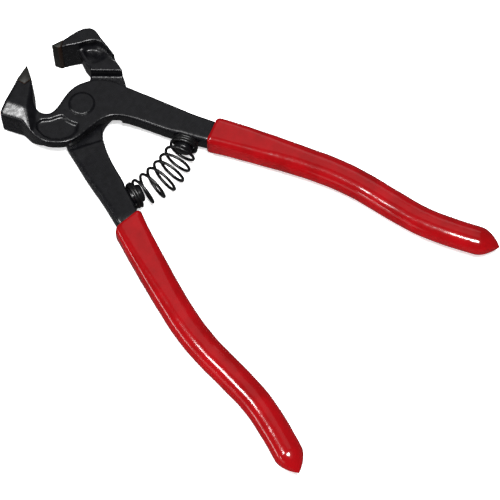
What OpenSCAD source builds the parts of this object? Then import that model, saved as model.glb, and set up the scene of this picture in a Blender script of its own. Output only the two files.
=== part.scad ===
// Tile nippers: two forged levers crossed in a lap joint on a rivet, each with a hooked jaw
// that carries a brazed carbide tip, a bowed coil spring between the shanks, and dipped grips.
// Frame: +Z along the pivot towards the front lever, +Y towards the jaws, handles towards -Y.
// The origin is the centre of the rivet's flat rear face. The tool is drawn fully open.

/* [Pivot] */
// Thickness of each lever in the lap joint
lap_t = 5; // [4.6:0.2:5.6]
// Gap between the two halves of the lap joint
lap_gap = 0.1; // [0.06:0.02:0.3]
// Radius of the rivet's shank
rivet_r = 4; // [3:0.25:4.5]
// Radius of the rivet's front head
rivet_head_r = 5.6; // [5.2:0.1:6.2]
// How far the front head stands out of the front lever
rivet_head_t = 0.7; // [0.4:0.1:1.2]
// Thickness of the rivet's peened rear end
rivet_tail_t = 0.6; // [0.4:0.1:1]
// Radial running clearance in the rear lever's bore
running_fit = 0.05; // [0.02:0.01:0.1]

/* [Jaws] */
// Width of the jaws along the pivot axis
jaw_w = 17.5; // [14:0.5:20]
// Direction of the front lever's cutting edge, from +X
front_jaw_dir = 95.3; // [94.8:0.25:96.3]
// Direction of the rear lever's cutting edge, from +X
rear_jaw_dir = 67.7; // [66.7:0.25:68.2]
// Thickness of the braze under each carbide tip
braze_t = 0.3; // [0.2:0.05:0.4]
// Steepness of the slopes from the jaws' sides down to the necks
jaw_slope = 46; // [40:1:55]
// Tilt of the bevels along the back of the front lever's jaw
bevel_tilt = 20; // [12:1:30]
// Height of the rear lever's neck above the parting plane, on either side
neck_h = 4.7; // [4:0.1:5]
// Depth of the forged recesses in the necks
recess_d = 1.2; // [0.6:0.2:1.6]

/* [Handles] */
// Thickness of the bare shanks where they meet the grips
shank_t = 8.6; // [8.4:0.2:9.4]
// How far each shank steps past the parting plane where it leaves the lap joint
cheek_h = 2; // [1:0.5:4]
// Thickness of the tangs inside the grips
tang_t = 7.4; // [6:0.2:7.8]
// Width of the tangs inside the grips
tang_w = 8.8; // [7.6:0.2:9.2]
// Width of the grips
grip_w = 12.6; // [12:0.2:13.5]
// Thickness of the grips
grip_t = 10.4; // [10:0.2:11.6]

/* [Spring] */
// Distance of the spring's centreline from the pivot
spring_orbit = 45.4; // [45:0.1:46]
// Wire diameter of the spring
wire_d = 0.9; // [0.7:0.1:1]
// Coil radius at the spring's ends, to the centre of the wire
coil_end_r = 4.9; // [4.8:0.1:5.2]
// Coil radius at mid length, to the centre of the wire
coil_mid_r = 6.7; // [6.2:0.1:6.9]
// How far the spring's centreline bows outward at mid length
coil_bow = 0.8; // [0.4:0.1:1.2]
// Turns of wire from end to end
coil_turns = 11; // [10:1:12]
// Radius of the pegs that hold the spring's ends
peg_r = 3.8; // [3.2:0.1:4]
// Length of the pegs that stands out of the shanks
peg_l = 5.5; // [4:0.5:7]

/* [Hidden] */
$fn = 64;
far = 60;
half_w = jaw_w / 2;
half_gap = lap_gap / 2;
tail_clear = 0.05;
mid_z = lap_t + tail_clear + rivet_tail_t;
seat_clear = 0.02;
// How far one cut runs into the next, so that no film is left between them
overlap = 0.01;
steel = [0.08, 0.08, 0.09];
red = [0.7, 0.04, 0.05];

// ---- curves ----
// A point on the smooth curve through a, b, c and d, between b and c
function between(a, b, c, d, u) = 0.5 * (2 * b + (c - a) * u
    + (2 * a - 5 * b + 4 * c - d) * u * u + (3 * b - a - 3 * c + d) * u * u * u);
// The smooth curve through the points, in n steps from each to the next
function smooth(p, n = 3) = let (m = len(p) - 1) [
    for (i = [0:m - 1], k = [0:n - 1])
        between(p[max(i - 1, 0)], p[i], p[i + 1], p[min(i + 2, m)], k / n), p[m]];
function arc(r, from, to, n = 10) = [
    for (i = [0:n]) let (a = from + (to - from) * i / n) [r * cos(a), r * sin(a)]];
function unit(v) = v / norm(v);
function left_of(v) = [-v.y, v.x];

// Jaw points are [distance from the pivot along the cutting edge's radius, distance from that
// radius away from the other jaw]. These put them into the tool's frame.
function front_jaw(p) = [for (q = p)
    [q.x * cos(front_jaw_dir) - q.y * sin(front_jaw_dir),
     q.x * sin(front_jaw_dir) + q.y * cos(front_jaw_dir)]];
function rear_jaw(p) = [for (q = p)
    [q.x * cos(rear_jaw_dir) + q.y * sin(rear_jaw_dir),
     q.x * sin(rear_jaw_dir) - q.y * cos(rear_jaw_dir)]];

// ---- handles: both follow this curve, the rear one mirrored ----
path = smooth([[22.6, -41], [26.2, -48.6], [29.1, -54.9], [33.6, -66], [39.6, -81.6],
    [44.8, -97], [47.6, -110], [49.2, -124], [51.2, -138], [55, -150.5], [59.9, -162.9]], 4);
path_n = len(path) - 1;
grip_start = 4;
tang_end = path_n - 1;
function heading(i) = unit(path[min(i + 1, path_n)] - path[max(i - 1, 0)]);
function tang_edge(side, clear) = [for (i = [grip_start - 2:tang_end])
    path[i] + side * (tang_w / 2 - i / path_n + clear) * left_of(heading(i))];
function backwards(p) = [for (i = [len(p) - 1:-1:0]) p[i]];

// ---- outlines ----
// Seats of the carbide tips: cutting edge first, then counter-clockwise. The two edges that
// meet at the third point are brazed, and the levers' own outlines run along them.
front_tip = front_jaw([[28.1, 0], [27.4, 7.9], [23.4, 7.6], [22.6, 4]]);
rear_tip = rear_jaw([[28.9, 0], [26.6, 2.05], [26.4, 3.2], [29.15, 5.5]]);

shank_outer = [[18.2, -8.5], [19.9, -14.4], [22.7, -23.3], [26.6, -36.5], [31, -48.5]];
shank_inner = [[22.2, -52.5], [17.7, -43], [14.6, -36.4], [11.6, -28.2], [8.9, -20.8]];
front_gullet = concat([front_tip[3]],
    front_jaw([[19.2, 7.6], [16.1, 11.2], [12, 12.7], [8.5, 11.1], [7.5, 7.4]]),
    [[-2.6, 7.8], [2, 8.3], [6.8, 7.2], [12.2, 3.9], [16, -1.4]]);
front_belly = concat(
    [[6.4, -15.8], [3.6, -12.6], [0, -10.9], [-5.7, -9.9], [-12, -9.2], [-16.4, -7.6]],
    [[-20.3, -4], [-22.9, 0.3]], front_jaw([[8.8, 22.6], [14.8, 21.3]]));
front_head = concat(front_jaw([[23.5, 23.9], [24.6, 23], [25.5, 18.3]]),
    [front_tip[1], front_tip[2]]);
front_outline = concat(smooth(concat(front_gullet, shank_outer)),
    smooth(concat(shank_inner, front_belly)), front_head);

rear_throat = concat(rear_jaw([[24.7, 9.9], [18, 9.6], [13.2, 9.9]]), [[8.3, 6.6], [3.6, 7.4]]);
rear_inner = concat([[-22.2, -52.5], [-17.7, -43], [-14.6, -36.4], [-11.4, -28], [-8.2, -21.2]],
    [[-4.6, -15.8], [-1, -12], [3.6, -10.9], [9.5, -11], [15.6, -9.4], [20, -6.2], [22.6, -2.4]],
    rear_jaw([[9.5, 21.8], [17, 20.9], [23.5, 19.9]]));
rear_outer = concat([[-13.4, -2.2], [-16.6, -6.2], [-19.5, -14.4], [-22.7, -23.6]],
    [[-26.6, -36.5], [-31, -48.5]]);
rear_head = concat(rear_jaw([[27.4, 19.5], [29.3, 18.2], [30.4, 15.8], [30.5, 12.3], [29.9, 8.5]]),
    [rear_tip[3], rear_tip[2]]);
rear_outline = concat(smooth(rear_throat), arc(8.2, 68, 160, 8), smooth(rear_outer),
    smooth(rear_inner), rear_head);

// The rim on the side of each jaw, where it drops to the neck
front_rim = [front_tip[3], front_jaw([[13.6, 20.2]])[0]];
rear_rim = rear_jaw([[24.7, 6], [24.5, 10.5], [23.8, 14.7], [22.7, 17.2], [20.9, 18.9],
    [18, 19.9], [14, 20.6], [8, 24]]);

// ---- helpers ----
module on_mid() { translate([0, 0, mid_z]) children(); }

module slab(points, from, to) {
    translate([0, 0, from]) linear_extrude(height = to - from) polygon(points);
}

// A block on the left of the line from a to b, over the given heights
module left_block(a, b, from, to) {
    run = b - a;
    translate([a.x, a.y, from]) rotate([0, 0, atan2(run.y, run.x)])
        translate([-far, 0, 0]) cube([2 * far, 2 * far, to - from]);
}

// All that is above a plane that starts at the line from a to b, at height z, and falls
// away to the left of the line at the given tilt
module above_slope(a, b, z, tilt) {
    run = b - a;
    translate([a.x, a.y, z]) rotate([0, 0, atan2(run.y, run.x)]) rotate([-tilt, 0, 0])
        translate([-far, 0, 0]) cube([2 * far, 2 * far, far]);
}

// The same cut on both sides of the parting plane
module both_sides() {
    children();
    mirror([0, 0, 1]) children();
}

// Where a spring peg stands: its foot on the orbit, looking along the orbit
peg_angle = -67.6;
module at_peg(side) {
    mirror([side < 0 ? 1 : 0, 0, 0]) rotate([0, 0, peg_angle])
        translate([spring_orbit, 0, 0]) rotate([90, 0, 0]) children();
}

spigot_r = 2;
spigot_l = 4;
foot_r = 6;
module peg_seat(side) {
    at_peg(side) {
        cylinder(r = foot_r, h = peg_l);
        translate([0, 0, -spigot_l]) cylinder(r = spigot_r, h = spigot_l + 1);
    }
}

// The bare shank. Its outward face thins from the lap joint to the grip. Its inward face stands
// cheek_h past the parting plane down to shank_top, and thickens from there.
shank_top = -17;
cheek = [[4.4, -16.8], [20.6, -8]];
module shank(points, side) {
    shank_run = shank_top - path[grip_start].y;
    fall = atan((lap_t - shank_t / 2) / shank_run);
    rise = atan((shank_t / 2 - cheek_h) / shank_run);
    across = left_of(heading(grip_start));
    step_y = shank_top - overlap;
    intersection() {
        slab(points, -lap_t, lap_t);
        rotate([0, side < 0 ? 180 : 0, 0]) difference() {
            left_block(cheek[1], cheek[0], -far, far);
            left_block(path[grip_start] + across, path[grip_start] - across, -far, far);
            above_slope([1, shank_top], [-1, shank_top], lap_t, fall);
            mirror([0, 0, 1]) above_slope([1, shank_top], [-1, shank_top], cheek_h, -rise);
            mirror([0, 0, 1]) left_block([-1, step_y], [1, step_y], cheek_h, far);
        }
    }
}

// The half of the lap joint over the given heights, without the shank
module lap_plate(points, from, to) {
    difference() {
        slab(points, from, to);
        left_block([1, shank_top], [-1, shank_top], -far, far);
    }
}

module tang(side, clear) {
    mirror([side < 0 ? 1 : 0, 0, 0])
        slab(concat(tang_edge(1, clear), backwards(tang_edge(-1, clear))),
            -tang_t / 2 - clear, tang_t / 2 + clear);
}

// ---- parts ----
module lever_front() {
    slope_run = unit(front_rim[1] - front_rim[0]);
    back = front_jaw([[25.5, 18.2], [16.1, 15.6]]);
    slope_w = half_w / tan(jaw_slope);
    recess = concat([[-18.8, 8.2], [-16.2, 7.7], [-13.6, 5.2], [-11, 3.9]],
        arc(9.3, 164, 212, 6), [[-10.8, -7], [-14, -6.9], [-17.4, -4.8], [-20, -1.6], [-21, 2],
        [-20.6, 5.8]]);
    color(steel) on_mid() difference() {
        union() {
            lap_plate(front_outline, half_gap, lap_t);
            difference() {
                slab(front_outline, -half_w, half_w);
                both_sides() above_slope(front_rim[0], front_rim[1], half_w, jaw_slope);
                left_block(front_rim[0] + slope_w * left_of(slope_run),
                    front_rim[1] + slope_w * left_of(slope_run), -far, far);
            }
            shank(front_outline, 1);
            tang(1, 0);
        }
        both_sides() above_slope(back[1], back[0], half_w, bevel_tilt);
        slab(recess, lap_t - recess_d, far);
        translate([0, 0, -far]) cylinder(r = rivet_r, h = 2 * far);
        peg_seat(1);
    }
}

module lever_rear() {
    shoulder = rear_jaw([[12.8, 10.3], [7.2, 21]]);
    pocket = rear_jaw([[23.2, 11.6], [22.9, 14.3], [21.8, 16.5], [20, 18], [17.6, 18.7],
        [15.6, 17.6], [15.2, 14.6], [15.8, 11.9], [18.5, 11.1]]);
    color(steel) on_mid() difference() {
        union() {
            lap_plate(rear_outline, -lap_t, -half_gap);
            difference() {
                slab(rear_outline, -half_w, half_w);
                both_sides() slab(concat(smooth(rear_rim), [[30, -30], [-60, -60], [-20, 20]]),
                    neck_h, far);
                left_block(shoulder[1], shoulder[0], -far, far);
            }
            shank(rear_outline, -1);
            tang(-1, 0);
        }
        both_sides() slab(pocket, neck_h - recess_d, far);
        translate([0, 0, -far]) cylinder(r = rivet_r + running_fit, h = 2 * far);
        peg_seat(-1);
    }
}

module pivot_rivet() {
    tail_r = rivet_r + 1.3;
    chamfer = 0.4;
    color([0.12, 0.12, 0.13]) on_mid() rotate_extrude() polygon([
        [0, -mid_z], [tail_r - chamfer, -mid_z], [tail_r, chamfer - mid_z],
        [tail_r, -lap_t - tail_clear], [rivet_r, -lap_t - tail_clear], [rivet_r, lap_t],
        [rivet_head_r, lap_t], [rivet_head_r, lap_t + rivet_head_t / 2],
        [rivet_head_r - chamfer, lap_t + rivet_head_t], [0, lap_t + rivet_head_t]]);
}

// How far along v it is from a line along u to where the line is braze_t away
function off_line(u, v) = braze_t / abs(cross(u, v)) * v;
// The carbide tip's corners: its seat, less the braze along the two brazed edges
function tip_corners(seat) = let (
        to_1 = unit(seat[1] - seat[2]),
        to_3 = unit(seat[3] - seat[2]),
        from_1 = unit(seat[0] - seat[1]),
        from_3 = unit(seat[0] - seat[3]))
    [seat[0], seat[1] + off_line(to_1, from_1),
     seat[2] + off_line(to_3, to_1) + off_line(to_1, to_3), seat[3] + off_line(to_3, from_3)];

module carbide_tip(seat) {
    color([0.62, 0.62, 0.6]) on_mid() slab(tip_corners(seat), -half_w, half_w);
}

module braze(seat) {
    tip = tip_corners(seat);
    color([0.55, 0.36, 0.2]) on_mid()
        slab([tip[1], seat[1], seat[2], seat[3], tip[3], tip[2]], -half_w, half_w);
}

// A peg with a domed end, pressed into its lever by a spigot
module spring_peg(side) {
    dome_h = 1.2;
    color([0.1, 0.1, 0.11]) on_mid() at_peg(side) rotate_extrude() polygon(concat(
        [[0, -spigot_l + 0.2], [spigot_r, -spigot_l + 0.2], [spigot_r, 0], [peg_r, 0]],
        [for (a = [0:15:75]) [peg_r - dome_h * (1 - cos(a)), peg_l - dome_h * (1 - sin(a))]],
        [[0, peg_l]]));
}

// ---- spring ----
coil_steps = 14;
wire_sides = 8;
end_gap = 0.15 + wire_d / 2;
coil_from = peg_angle - end_gap / spring_orbit * 180 / PI;
coil_to = -180 - coil_from;
coil_n = coil_turns * coil_steps;
coil_start = 19;
// Close turns at each end, and the share of the spring's length that a turn of each kind takes
close_turns = 2.2;
open_turns = coil_turns - 2 * close_turns;
close_share = 1.16 * wire_d / (spring_orbit * (coil_from - coil_to) * PI / 180);
open_share = (1 - 2 * close_turns * close_share) / open_turns;
// Share of the spring's length passed after a number of turns
function along_coil(turns) = close_share * min(turns, close_turns)
    + open_share * max(0, min(turns - close_turns, open_turns))
    + close_share * max(0, turns - close_turns - open_turns);
// A point of the coil at u from 0 to 1, or on the spring's own bowed axis if width is 0
function coil_point(u, width) = let (
        s = along_coil(coil_turns * u),
        a = coil_from + (coil_to - coil_from) * s,
        turn = coil_start + 360 * coil_turns * u,
        r = width * (coil_end_r + (coil_mid_r - coil_end_r) * sin(180 * s)),
        reach = spring_orbit + coil_bow * pow(sin(180 * s), 2) + r * cos(turn))
    [reach * cos(a), reach * sin(a), r * sin(turn)];
function wire_ring(i) = let (
        u = i / coil_n,
        here = coil_point(u, 1),
        out = unit(here - coil_point(u, 0)),
        ahead = coil_point(u + 0.1 / coil_n, 1) - here,
        side = unit(cross(ahead, out)))
    [for (k = [0:wire_sides - 1]) let (a = 360 * k / wire_sides)
        here + wire_d / 2 * (cos(a) * out + sin(a) * side)];

// A closed skin over rings of points that all have the same number of points
module skin(rings) {
    n = len(rings[0]);
    last = len(rings) - 1;
    polyhedron(points = [for (ring = rings) each ring], faces = concat(
        [[for (k = [0:n - 1]) k]],
        [for (i = [0:last - 1], k = [0:n - 1]) [(i + 1) * n + k, i * n + (k + 1) % n, i * n + k]],
        [for (i = [0:last - 1], k = [0:n - 1])
            [(i + 1) * n + k, (i + 1) * n + (k + 1) % n, i * n + (k + 1) % n]],
        [[for (k = [n - 1:-1:0]) last * n + k]]));
}

module return_spring() {
    color([0.1, 0.1, 0.1]) on_mid() skin([for (i = [0:coil_n]) wire_ring(i)]);
}

// ---- grips ----
grip_sides = 28;
tip_l = 6.8;
// Half sizes of the grip along the path: a little thicker where it starts, slimmer at the end
function grip_half(i) = let (u = (i - grip_start) / (path_n - grip_start)) [
    grip_w / 2 + 0.2 - 0.7 * u, grip_t / 2 + 0.6 * pow(1 - u, 2) - 0.4 * u];
// A ring of the grip's flattened oval about a point of the path
function oval(centre, side, half) = [for (k = [0:grip_sides - 1]) let (
        a = 360 * k / grip_sides,
        w = half[0] * sign(cos(a)) * pow(abs(cos(a)), 0.85),
        h = half[1] * sign(sin(a)) * pow(abs(sin(a)), 0.85))
    [centre.x + w * side.x, centre.y + w * side.y, h]];
function grip_rings() = concat(
    [for (u = [0, 0.5, 1]) oval(path[grip_start] + (0.03 + 1.2 * u) * heading(grip_start),
        left_of(heading(grip_start)), grip_half(grip_start) - [0.7, 0.7] * pow(1 - u, 2))],
    [for (i = [grip_start + 1:path_n]) oval(path[i], left_of(heading(i)), grip_half(i))],
    [for (a = [20, 40, 55, 70, 82]) oval(path[path_n] + tip_l * sin(a) * heading(path_n),
        left_of(heading(path_n)), grip_half(path_n) * pow(cos(a), 0.8))]);

module grip(side) {
    color(red) on_mid() difference() {
        mirror([side < 0 ? 1 : 0, 0, 0]) skin(grip_rings());
        tang(side, seat_clear);
    }
}

module carbide_front() { carbide_tip(front_tip); }
module carbide_rear() { carbide_tip(rear_tip); }
module braze_front() { braze(front_tip); }
module braze_rear() { braze(rear_tip); }
module spring_peg_front() { spring_peg(1); }
module spring_peg_rear() { spring_peg(-1); }
module grip_front() { grip(1); }
module grip_rear() { grip(-1); }

lever_front();
lever_rear();
pivot_rivet();
carbide_front();
carbide_rear();
braze_front();
braze_rear();
spring_peg_front();
spring_peg_rear();
return_spring();
grip_front();
grip_rear();
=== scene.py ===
"""Looks of the tile nippers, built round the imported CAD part.

Lengths are in mm, and times MM where they go to Blender.
"""

import math

import bmesh
import bpy
import numpy as np
from mathutils import Matrix, Vector


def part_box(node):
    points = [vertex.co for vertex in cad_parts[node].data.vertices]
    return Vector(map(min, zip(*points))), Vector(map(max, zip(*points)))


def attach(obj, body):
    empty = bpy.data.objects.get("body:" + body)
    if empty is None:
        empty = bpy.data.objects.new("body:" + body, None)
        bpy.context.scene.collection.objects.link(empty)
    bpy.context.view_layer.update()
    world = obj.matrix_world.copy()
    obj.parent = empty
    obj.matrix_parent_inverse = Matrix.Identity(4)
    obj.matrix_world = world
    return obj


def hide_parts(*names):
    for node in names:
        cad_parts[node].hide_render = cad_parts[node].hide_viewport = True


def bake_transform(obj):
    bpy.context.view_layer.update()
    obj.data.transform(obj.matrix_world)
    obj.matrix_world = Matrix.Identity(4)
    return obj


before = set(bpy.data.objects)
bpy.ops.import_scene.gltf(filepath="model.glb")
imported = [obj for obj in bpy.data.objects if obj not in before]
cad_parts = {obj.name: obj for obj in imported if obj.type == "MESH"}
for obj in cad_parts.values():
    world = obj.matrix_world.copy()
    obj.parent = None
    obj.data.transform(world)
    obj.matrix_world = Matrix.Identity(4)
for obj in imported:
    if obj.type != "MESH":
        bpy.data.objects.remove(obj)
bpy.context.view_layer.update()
MM = 0.001
MID = 5.65  # height of the plane in which the two levers part
VOXEL = 0.32  # grid on which the levers are rounded
ROUNDING_STEPS = 90
SCENE = bpy.context.scene


# ---- meshes ----
def make(name, points, faces, smooth=True):
    """A new object from points in mm."""
    mesh = bpy.data.meshes.new(name)
    mesh.from_pydata([tuple(p) for p in np.asarray(points, float) * MM], [], faces)
    mesh.validate()
    obj = bpy.data.objects.new(name, mesh)
    SCENE.collection.objects.link(obj)
    mesh.polygons.foreach_set("use_smooth", [smooth] * len(mesh.polygons))
    mesh.update()
    return obj


def skin(name, rings):
    """A closed skin over rings that all have the same number of points."""
    rings = np.asarray(rings, float)
    count, n = rings.shape[:2]
    faces = []
    for i in range(count - 1):
        for k in range(n):
            j = (k + 1) % n
            faces.append((i * n + k, i * n + j, (i + 1) * n + j, (i + 1) * n + k))
    points = np.vstack([rings.reshape(-1, 3), rings[0].mean(0), rings[-1].mean(0)])
    first, last = count * n, count * n + 1
    for k in range(n):
        j = (k + 1) % n
        faces.append((first, j, k))
        faces.append((last, (count - 1) * n + k, (count - 1) * n + j))
    return make(name, points, faces)


def outward(obj):
    """Turns the faces so that the normals point out."""
    work = bmesh.new()
    work.from_mesh(obj.data)
    bmesh.ops.recalc_face_normals(work, faces=work.faces)
    if work.calc_volume(signed=True) < 0:
        bmesh.ops.reverse_faces(work, faces=work.faces)
    work.to_mesh(obj.data)
    work.free()
    return obj


def lathe(name, profile, sides=96):
    """A solid of revolution about the pivot axis, from (radius, height) points."""
    a = np.linspace(0, 2 * math.pi, sides, endpoint=False)
    rings = [np.stack([r * np.cos(a), r * np.sin(a), np.full(sides, z)], 1) for r, z in profile]
    return outward(skin(name, rings))


def taken(node, name, edge=0.12, segments=2):
    """A copy of a CAD node with tidy flats and small rounded edges."""
    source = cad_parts[node]
    work = bmesh.new()
    work.from_mesh(source.data)
    bmesh.ops.remove_doubles(work, verts=work.verts, dist=1e-6)
    bmesh.ops.dissolve_limit(work, angle_limit=math.radians(2), verts=work.verts, edges=work.edges)
    sharp = [e for e in work.edges
             if len(e.link_faces) == 2 and e.calc_face_angle() > math.radians(25)]
    bmesh.ops.bevel(work, geom=sharp, offset=edge * MM, segments=segments, profile=0.5,
                    affect="EDGES", clamp_overlap=True)
    mesh = bpy.data.meshes.new(name)
    work.to_mesh(mesh)
    work.free()
    obj = bpy.data.objects.new(name, mesh)
    SCENE.collection.objects.link(obj)
    mesh.polygons.foreach_set("use_smooth", [True] * len(mesh.polygons))
    mesh.set_sharp_from_angle(angle=math.radians(40))
    return obj


# ---- levers: forged, so every edge is rounded, more so along the shanks ----
def deepen(co, centre, reach, way, face, depth, shallow, deep):
    """Turns a flat pocket of the given depth into a ramp, on both sides of the lever.

    The ramp falls along way, from shallow to deep, and face is the face's height from MID.
    """
    flat = co[:, :2] - np.array(centre)
    t = np.clip(flat @ np.array(way) / reach + 0.5, 0, 1)
    height = np.abs(co[:, 2] - MID)
    inside = np.linalg.norm(flat, axis=1) < reach
    inside &= (height < face - 0.02) & (height > face - depth - 0.1)
    new = face - (face - height) / depth * (shallow + (deep - shallow) * t)
    co[inside, 2] = (MID + np.sign(co[:, 2] - MID) * new)[inside]


def forged(node, name, crisp_nodes, soft=(), ramp=None):
    """A CAD lever with every edge rounded, apart from the seats next to the crisp nodes.

    Each soft spot is (x, y, height from MID, radius, extra rounding). The attribute "worn" says
    how far the rounding took a corner back.
    """
    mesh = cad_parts[node].data.copy()
    obj = bpy.data.objects.new(name, mesh)
    SCENE.collection.objects.link(obj)
    mesh.transform(Matrix.Scale(1 / MM, 4))
    grid = obj.modifiers.new("grid", "REMESH")
    grid.mode = "VOXEL"
    grid.voxel_size = VOXEL
    graph = bpy.context.evaluated_depsgraph_get()
    done = bpy.data.meshes.new_from_object(obj.evaluated_get(graph))
    obj.modifiers.clear()
    obj.data = done
    n = len(done.vertices)
    co = np.empty(n * 3, np.float32)
    done.vertices.foreach_get("co", co)
    co = co.reshape(-1, 3).astype(float)
    normal = np.empty(n * 3, np.float32)
    done.vertices.foreach_get("normal", normal)
    normal = normal.reshape(-1, 3)
    edges = np.empty(len(done.edges) * 2, np.int32)
    done.edges.foreach_get("vertices", edges)
    a, b = np.r_[edges[0::2], edges[1::2]], np.r_[edges[1::2], edges[0::2]]
    degree = np.maximum(np.bincount(a, minlength=n), 1)[:, None]
    along = np.clip((-co[:, 1] - 14) / 30, 0, 1)
    sigma = 0.55 + 0.65 * along
    for x, y, z, radius, extra in soft:
        away = np.linalg.norm(co - np.array([x, y, MID + z]), axis=1)
        sigma += extra * np.exp(-(away / radius) ** 2)
    for other in crisp_nodes:
        low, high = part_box(other)
        low, high = np.array(low) / MM - 0.9, np.array(high) / MM + 0.9
        near = np.all((co > low) & (co < high), axis=1)
        sigma[near] = np.minimum(sigma[near], 0.2)
    rate = np.clip(2 * (sigma / VOXEL) ** 2 / ROUNDING_STEPS, 0, 0.8)[:, None]
    if ramp:
        deepen(co, *ramp)
    start = co.copy()
    for _ in range(ROUNDING_STEPS):
        mean = np.stack([np.bincount(a, co[b, k], minlength=n) for k in range(3)], 1) / degree
        co += rate * (mean - co)
    lost = np.einsum("ij,ij->i", start - co, normal)
    worn = done.attributes.new("worn", "FLOAT", "POINT")
    worn.data.foreach_set("value", np.clip(lost / 0.3, 0, 1).astype(np.float32))
    done.vertices.foreach_set("co", (co * MM).astype(np.float32).ravel())
    done.polygons.foreach_set("use_smooth", [True] * len(done.polygons))
    done.update()
    return obj


# ---- handle path, the same curve as in the CAD ----
KNOTS = np.array([[22.6, -41], [26.2, -48.6], [29.1, -54.9], [33.6, -66], [39.6, -81.6],
                  [44.8, -97], [47.6, -110], [49.2, -124], [51.2, -138], [55, -150.5],
                  [59.9, -162.9]])
GRIP_HALF_W, GRIP_HALF_H = 6.5, 5.8
GRIP_TIP = 8.6


def curve_point(t):
    """The handle's centreline at t knots from its first one."""
    i = int(min(max(math.floor(t), 0), len(KNOTS) - 2))
    u = t - i
    a, b = KNOTS[max(i - 1, 0)], KNOTS[i]
    c, d = KNOTS[i + 1], KNOTS[min(i + 2, len(KNOTS) - 1)]
    return 0.5 * (2 * b + (c - a) * u + (2 * a - 5 * b + 4 * c - d) * u ** 2
                  + (3 * b - a - 3 * c + d) * u ** 3)


def dipped_grip(name, side, slant, shift):
    """A grip dipped in vinyl: square-shouldered at its start, oval further on, rounded at its end.

    Its start slants by slant across the grip, and lies shift further along it.
    """
    t = np.linspace(1, len(KNOTS) - 1, 400)
    line = np.array([curve_point(x) for x in t])
    run = np.r_[0, np.cumsum(np.linalg.norm(np.diff(line, axis=0), axis=1))]
    total = run[-1]
    body = total - 1.8
    sides = 72
    angle = np.linspace(0, 2 * math.pi, sides, endpoint=False)

    def line_at(s):
        return np.array([np.interp(s, run, line[:, k]) for k in (0, 1)])

    def ring(s, shrink, scale=1.0):
        """The grip's outline at s from its start."""
        here = line_at(min(max(s, 0), total))
        ahead = line_at(min(max(s + 0.6, 0.6), total))
        back = line_at(min(max(s - 0.6, 0), total - 0.6))
        go = (ahead - back) / np.linalg.norm(ahead - back)
        if s > total:
            here = here + go * (s - total)
        u = min(max(s / total, 0), 1)
        w = (GRIP_HALF_W - 0.7 * u - shrink) * scale
        h = (GRIP_HALF_H - 0.6 * (1 - (1 - u) ** 2) - 0.4 * u - shrink) * scale
        squareness = 2.2 + 2.2 * math.exp(-(max(s, 0) / 24) ** 2)
        c, d = np.cos(angle), np.sin(angle)
        across = w * np.sign(c) * np.abs(c) ** (2 / squareness)
        up = h * np.sign(d) * np.abs(d) ** (2 / squareness)
        fade = math.exp(-(max(s, 0) / 5) ** 2)
        along = fade * (shift + slant * across / GRIP_HALF_W + 0.14 * np.sin(2 * angle + 0.7)
                        + 0.1 * np.sin(5 * angle))
        wave = 1 + 0.004 * math.sin(s * 0.55 + 0.4) + 0.004 * math.sin(s * 0.23 + 1.9)
        left = np.array([-go[1], go[0]])
        x = here[0] + left[0] * across * wave + go[0] * along
        y = here[1] + left[1] * across * wave + go[1] * along
        return np.stack([side * x, y, MID + up * wave], 1)

    rings = [ring(0.75, 2.3), ring(0.35, 1.6), ring(0.2, 1.05), ring(0.3, 0.6), ring(0.6, 0.26),
             ring(1.05, 0.07), ring(1.6, 0)]
    rings += [ring(s, 0) for s in np.arange(2.6, body, 1.25)]
    for q in (0, 0.08, 0.16, 0.25, 0.34, 0.43, 0.52, 0.61, 0.7, 0.78, 0.85, 0.91, 0.95, 0.975,
              0.99):
        rings.append(ring(body + GRIP_TIP * q, 0, (1 - q ** 1.75) ** 0.92))
    return outward(skin(name, rings))


# ---- spring: the CAD's coil, with its wire shown thicker ----
WIRE, ORBIT, END_R, MID_R, BOW, TURNS, CLOSE = 0.9, 45.4, 4.9, 6.7, 0.8, 11, 2.2
THICK = 1.26  # shown thickness of the wire with its paint
PEG_ANGLE = -67.6
COIL_FROM = PEG_ANGLE - math.degrees((0.15 + WIRE / 2) / ORBIT)
COIL_TO = -180 - COIL_FROM
COIL_START = 19


def share_passed(turns):
    """Share of the spring's length passed after a number of turns."""
    close = 1.16 * WIRE / (ORBIT * math.radians(COIL_FROM - COIL_TO))
    middle = TURNS - 2 * CLOSE
    wide = (1 - 2 * CLOSE * close) / middle
    return (close * np.minimum(turns, CLOSE) + wide * np.clip(turns - CLOSE, 0, middle)
            + close * np.maximum(0, turns - CLOSE - middle))


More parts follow.
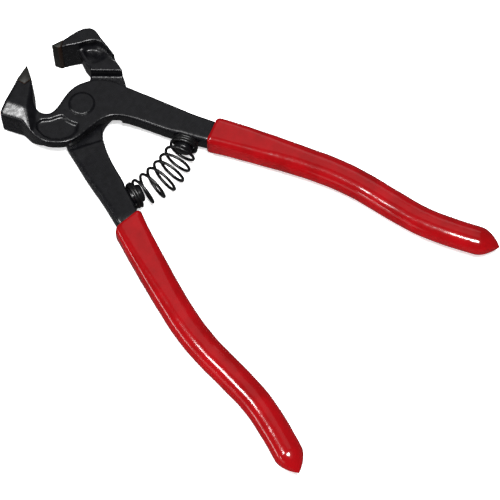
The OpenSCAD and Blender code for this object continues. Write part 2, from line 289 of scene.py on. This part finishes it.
def coiled(name, per_turn=40, sides=14):
    """The spring's wire, with its cut ends closed a little inside its first and last ring."""
    u = np.linspace(0, 1, TURNS * per_turn + 1)
    spread = np.linspace(-0.22, 0.22, 9)
    turns = u * TURNS
    s = np.mean([share_passed(np.clip(turns + d, 0, TURNS)) for d in spread], axis=0)
    s = (s - s[0]) / (s[-1] - s[0])
    a = np.radians(COIL_FROM + (COIL_TO - COIL_FROM) * s)
    phase = np.radians(COIL_START + 360 * turns)

    def at(width):
        """The coil, or the spring's own bowed axis if width is 0."""
        r = width * (END_R + (MID_R - END_R) * np.sin(math.pi * s))
        reach = ORBIT + BOW * np.sin(math.pi * s) ** 2 + r * np.cos(phase)
        return np.stack([reach * np.cos(a), reach * np.sin(a), MID + r * np.sin(phase)], 1)

    wire, axis = at(1), at(0)
    ahead = np.gradient(wire, axis=0)
    ahead /= np.linalg.norm(ahead, axis=1)[:, None]
    out = wire - axis
    out -= np.einsum("ij,ij->i", out, ahead)[:, None] * ahead
    out /= np.linalg.norm(out, axis=1)[:, None]
    across = np.cross(ahead, out)
    k = np.linspace(0, 2 * math.pi, sides, endpoint=False)[:, None]
    rings = [wire[i] + THICK / 2 * (np.cos(k) * out[i] + np.sin(k) * across[i])
             for i in range(len(u))]
    first = wire[0] - 0.12 * ahead[0] + 0.8 * (rings[0] - wire[0])
    last = wire[-1] + 0.12 * ahead[-1] + 0.8 * (rings[-1] - wire[-1])
    return outward(skin(name, [first] + rings + [last]))


# ---- materials ----
class Nodes:
    """A small help to write a material's nodes."""

    def __init__(self, name):
        self.material = bpy.data.materials.new(name)
        self.material.use_nodes = True
        self.tree = self.material.node_tree
        self.tree.nodes.clear()
        self.out = self.tree.nodes.new("ShaderNodeOutputMaterial")
        self.shader = self.tree.nodes.new("ShaderNodeBsdfPrincipled")
        self.tree.links.new(self.shader.outputs[0], self.out.inputs[0])
        self.place = self.tree.nodes.new("ShaderNodeTexCoord").outputs["Object"]

    def set(self, **values):
        for key, value in values.items():
            self.shader.inputs[key.replace("_", " ")].default_value = value
        return self

    def link(self, socket, key):
        self.tree.links.new(socket, self.shader.inputs[key])

    def noise(self, scale, detail=4.0, rough=0.55, stretch=None):
        node = self.tree.nodes.new("ShaderNodeTexNoise")
        node.inputs["Scale"].default_value = scale
        node.inputs["Detail"].default_value = detail
        node.inputs["Roughness"].default_value = rough
        place = self.place
        if stretch:
            mapping = self.tree.nodes.new("ShaderNodeMapping")
            mapping.inputs["Scale"].default_value = stretch
            self.tree.links.new(place, mapping.inputs[0])
            place = mapping.outputs[0]
        self.tree.links.new(place, node.inputs["Vector"])
        return node.outputs["Fac"]

    def range(self, value, low, high, to_low, to_high):
        node = self.tree.nodes.new("ShaderNodeMapRange")
        for i, v in enumerate((low, high, to_low, to_high)):
            node.inputs[1 + i].default_value = v
        self.tree.links.new(value, node.inputs[0])
        return node.outputs[0]

    def mix(self, value, first, second):
        node = self.tree.nodes.new("ShaderNodeMix")
        node.data_type = "RGBA"
        self.tree.links.new(value, node.inputs[0])
        for i, colour in ((6, first), (7, second)):
            if isinstance(colour, tuple):
                node.inputs[i].default_value = (*colour, 1)
            else:
                self.tree.links.new(colour, node.inputs[i])
        return node.outputs[2]

    def attribute(self, name):
        node = self.tree.nodes.new("ShaderNodeAttribute")
        node.attribute_name = name
        return node.outputs["Fac"]

    def bump(self, layers):
        """Relief from (noise, height in mm) layers, each on top of the one before."""
        normal = None
        for height, distance in layers:
            node = self.tree.nodes.new("ShaderNodeBump")
            node.inputs["Strength"].default_value = 1
            node.inputs["Distance"].default_value = distance * MM
            self.tree.links.new(height, node.inputs["Height"])
            if normal is not None:
                self.tree.links.new(normal, node.inputs["Normal"])
            normal = node.outputs[0]
        self.link(normal, "Normal")


def black_enamel(name, worn=True):
    m = Nodes(name).set(IOR=1.36, Metallic=0)
    blotch = m.range(m.noise(420, 5), 0.35, 0.65, 0, 1)
    colour = m.mix(blotch, (0.0016, 0.0016, 0.0022), (0.0036, 0.0036, 0.0046))
    if worn:
        patch = m.noise(1500, 6, 0.7)
        edge = m.range(m.attribute("worn"), 0.35, 1.0, 0, 0.6)
        both = m.tree.nodes.new("ShaderNodeMath")
        both.operation = "MULTIPLY"
        m.tree.links.new(edge, both.inputs[0])
        m.tree.links.new(m.range(patch, 0.45, 0.7, 0, 1), both.inputs[1])
        colour = m.mix(both.outputs[0], colour, (0.02, 0.02, 0.022))
    m.link(colour, "Base Color")
    m.link(m.range(m.noise(700, 4), 0.3, 0.7, 0.2, 0.34), "Roughness")
    m.bump([(m.noise(520, 3), 0.018), (m.noise(2600, 4), 0.003), (m.noise(150, 2), 0.035)])
    return m.material


def red_vinyl(name):
    m = Nodes(name).set(IOR=1.45)
    cloud = m.range(m.noise(90, 4), 0.35, 0.65, 0, 1)
    m.link(m.mix(cloud, (0.18, 0.0007, 0.0016), (0.25, 0.0011, 0.003)), "Base Color")
    m.link(m.range(m.noise(900, 5, 0.65), 0.3, 0.7, 0.1, 0.17), "Roughness")
    m.bump([(m.noise(110, 2), 0.10), (m.noise(700, 3), 0.012), (m.noise(4200, 3), 0.002)])
    return m.material


def ground_carbide(name):
    m = Nodes(name).set(Metallic=0.35, IOR=1.45)
    lines = m.noise(500, 4, 0.6, (1, 1, 14))
    shade = m.range(lines, 0.3, 0.7, 0, 1)
    m.link(m.mix(shade, (0.004, 0.004, 0.003), (0.012, 0.012, 0.0095)), "Base Color")
    m.link(m.range(lines, 0.3, 0.7, 0.28, 0.48), "Roughness")
    m.bump([(lines, 0.01), (m.noise(5200, 3), 0.003)])
    return m.material


def braze_metal(name):
    m = Nodes(name).set(Metallic=0.6)
    spots = m.range(m.noise(1400, 6, 0.7), 0.35, 0.65, 0, 1)
    m.link(m.mix(spots, (0.012, 0.006, 0.004), (0.035, 0.018, 0.01)), "Base Color")
    m.link(m.range(spots, 0, 1, 0.35, 0.55), "Roughness")
    m.bump([(m.noise(1800, 5), 0.03)])
    return m.material


def black_wire(name):
    m = Nodes(name).set(IOR=1.45, Metallic=0.15)
    spots = m.range(m.noise(1600, 5), 0.35, 0.65, 0, 1)
    m.link(m.mix(spots, (0.001, 0.001, 0.0012), (0.004, 0.004, 0.0045)), "Base Color")
    m.link(m.range(spots, 0, 1, 0.25, 0.42), "Roughness")
    m.bump([(m.noise(3500, 4), 0.006)])
    return m.material


def dress(obj, material, body, node):
    """Puts a finished piece on its body, in place of its CAD node."""
    obj.data.materials.clear()
    obj.data.materials.append(material)
    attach(obj, body)
    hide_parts(node)


ENAMEL = black_enamel("forged_black_enamel")
PLAIN_ENAMEL = black_enamel("rivet_black_enamel", worn=False)
VINYL = red_vinyl("dipped_red_vinyl")
CARBIDE = ground_carbide("ground_carbide")
BRAZE = braze_metal("braze_joint")
SPRING = black_wire("black_spring_wire")

# ---- pieces ----
NECK_STEP = (21.5, 12.6)
dress(forged("lever_front", "forged_lever_front", ["carbide_front", "braze_front"],
             soft=[(-17.3, 20, 8, 9, 0.45)]),
      ENAMEL, "front_lever", "lever_front")
dress(forged("lever_rear", "forged_lever_rear", ["carbide_rear", "braze_rear"],
             soft=[(*NECK_STEP, 3.5, 4.6, 1.0), (*NECK_STEP, -3.5, 4.6, 1.0)],
             ramp=(NECK_STEP, 6.4, (0.76, 0.65), 4.7, 1.2, 0.3, 2.0)),
      ENAMEL, "rear_lever", "lever_rear")
for where, body in (("front", "front_lever"), ("rear", "rear_lever")):
    dress(taken("carbide_" + where, "ground_tip_" + where, 0.1),
          CARBIDE, body, "carbide_" + where)
    dress(taken("braze_" + where, "braze_line_" + where, 0.05, 1),
          BRAZE, body, "braze_" + where)
    dress(taken("spring_peg_" + where, "domed_peg_" + where, 0.15),
          PLAIN_ENAMEL, body, "spring_peg_" + where)
dress(dipped_grip("dipped_grip_front", 1, 0.7, -0.6), VINYL, "front_lever", "grip_front")
dress(dipped_grip("dipped_grip_rear", -1, 1.9, 0.4), VINYL, "rear_lever", "grip_rear")

rivet_low, rivet_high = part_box("pivot_rivet")
head_top = rivet_high.z / MM
head_r = (rivet_high.x - rivet_low.x) / 2 / MM
tail_low = rivet_low.z / MM
shank_r = 4
axis_r = 0.02
seat = head_top - 0.7
profile = [(axis_r, head_top)]
profile += [(r, head_top - 0.03 * (r / shank_r) ** 2) for r in (1, 2, 3, 3.6, 4)]
profile += [(4.4, head_top - 0.04), (4.75, head_top - 0.09), (4.92, head_top - 0.2),
            (5.1, head_top - 0.46), (5.25, head_top - 0.62), (head_r, head_top - 0.67)]
profile += [(head_r, seat), (shank_r, seat - 0.02), (shank_r, tail_low + 0.62),
            (5.5, tail_low + 0.6), (5.55, tail_low + 0.3), (5.2, tail_low + 0.06),
            (4.6, tail_low), (axis_r, tail_low)]
dress(lathe("peened_rivet", profile), PLAIN_ENAMEL, "front_lever", "pivot_rivet")

spring = coiled("coil_spring")
spring.data.materials.append(SPRING)
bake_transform(spring)
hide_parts("return_spring")


# ---- stage ----
def paper(name):
    m = Nodes(name).set(IOR=1.3)
    m.link(m.mix(m.noise(30, 3), (0.88, 0.88, 0.88), (0.92, 0.92, 0.92)), "Base Color")
    m.set(Roughness=0.8, Emission_Color=(1, 1, 1, 1), Emission_Strength=0.6)
    m.bump([(m.noise(1500, 3), 0.003)])
    return m.material


FLOOR_HALF, FLOOR_Z = 1500, -3.2
corners = [[x * FLOOR_HALF, y * FLOOR_HALF, FLOOR_Z]
           for x, y in ((-1, -1), (1, -1), (1, 1), (-1, 1))]
floor = make("floor", corners, [(0, 1, 2, 3)], smooth=False)
floor.data.materials.append(paper("white_paper"))
floor.visible_glossy = False

TARGET = Vector((-3.536, -94.161, MID)) * MM
WORK = Vector((0, -0.07, 0))


def softbox(name, towards, distance, size, watts):
    """A soft light that faces the tool from the given direction, in metres and watts."""
    data = bpy.data.lights.new(name, "AREA")
    data.shape = "RECTANGLE"
    data.size, data.size_y = size
    data.energy = watts
    obj = bpy.data.objects.new(name, data)
    SCENE.collection.objects.link(obj)
    way = Vector(towards).normalized()
    obj.location = WORK + way * distance
    obj.rotation_mode = "QUATERNION"
    obj.rotation_quaternion = way.to_track_quat("Z", "Y")


softbox("band_key", (-0.34, 0.21, 0.92), 1.2, (0.2, 0.2), 8)
softbox("top_key", (-0.16, -0.22, 0.96), 1.2, (0.22, 0.22), 19)
softbox("front_grip_strip", (-0.872, 0.138, 0.471), 1.0, (0.2, 0.11), 0.8)
softbox("rear_grip_strip", (-0.80, 0.56, 0.23), 1.0, (0.34, 0.09), 1.1)
softbox("left_wall", (-0.88, 0.25, 0.25), 1.3, (1.3, 0.45), 1.7)
softbox("right_wall", (0.66, 0.36, 0.66), 1.3, (0.5, 0.3), 0.4)
softbox("face_fill", (0.36, 0.31, 0.88), 1.3, (0.7, 0.7), 0.75)

world = bpy.data.worlds.new("studio")
SCENE.world = world
world.use_nodes = True
background = world.node_tree.nodes["Background"]
background.inputs["Color"].default_value = (1, 1, 1, 1)
background.inputs["Strength"].default_value = 0.1
SCENE.view_settings.view_transform = "Standard"
SCENE.view_settings.look = "None"

# ---- camera: 65 degrees above the floor ----
eye = Vector((-0.3209, -0.2750, 0.9063)).normalized()
camera_data = bpy.data.cameras.new("camera")
camera_data.lens = 144
camera_data.sensor_width = 36
camera_data.clip_start, camera_data.clip_end = 0.05, 20
camera = bpy.data.objects.new("camera", camera_data)
SCENE.collection.objects.link(camera)
camera.location = TARGET + eye * 0.8
camera.rotation_mode = "QUATERNION"
camera.rotation_quaternion = eye.to_track_quat("Z", "Y")
SCENE.camera = camera
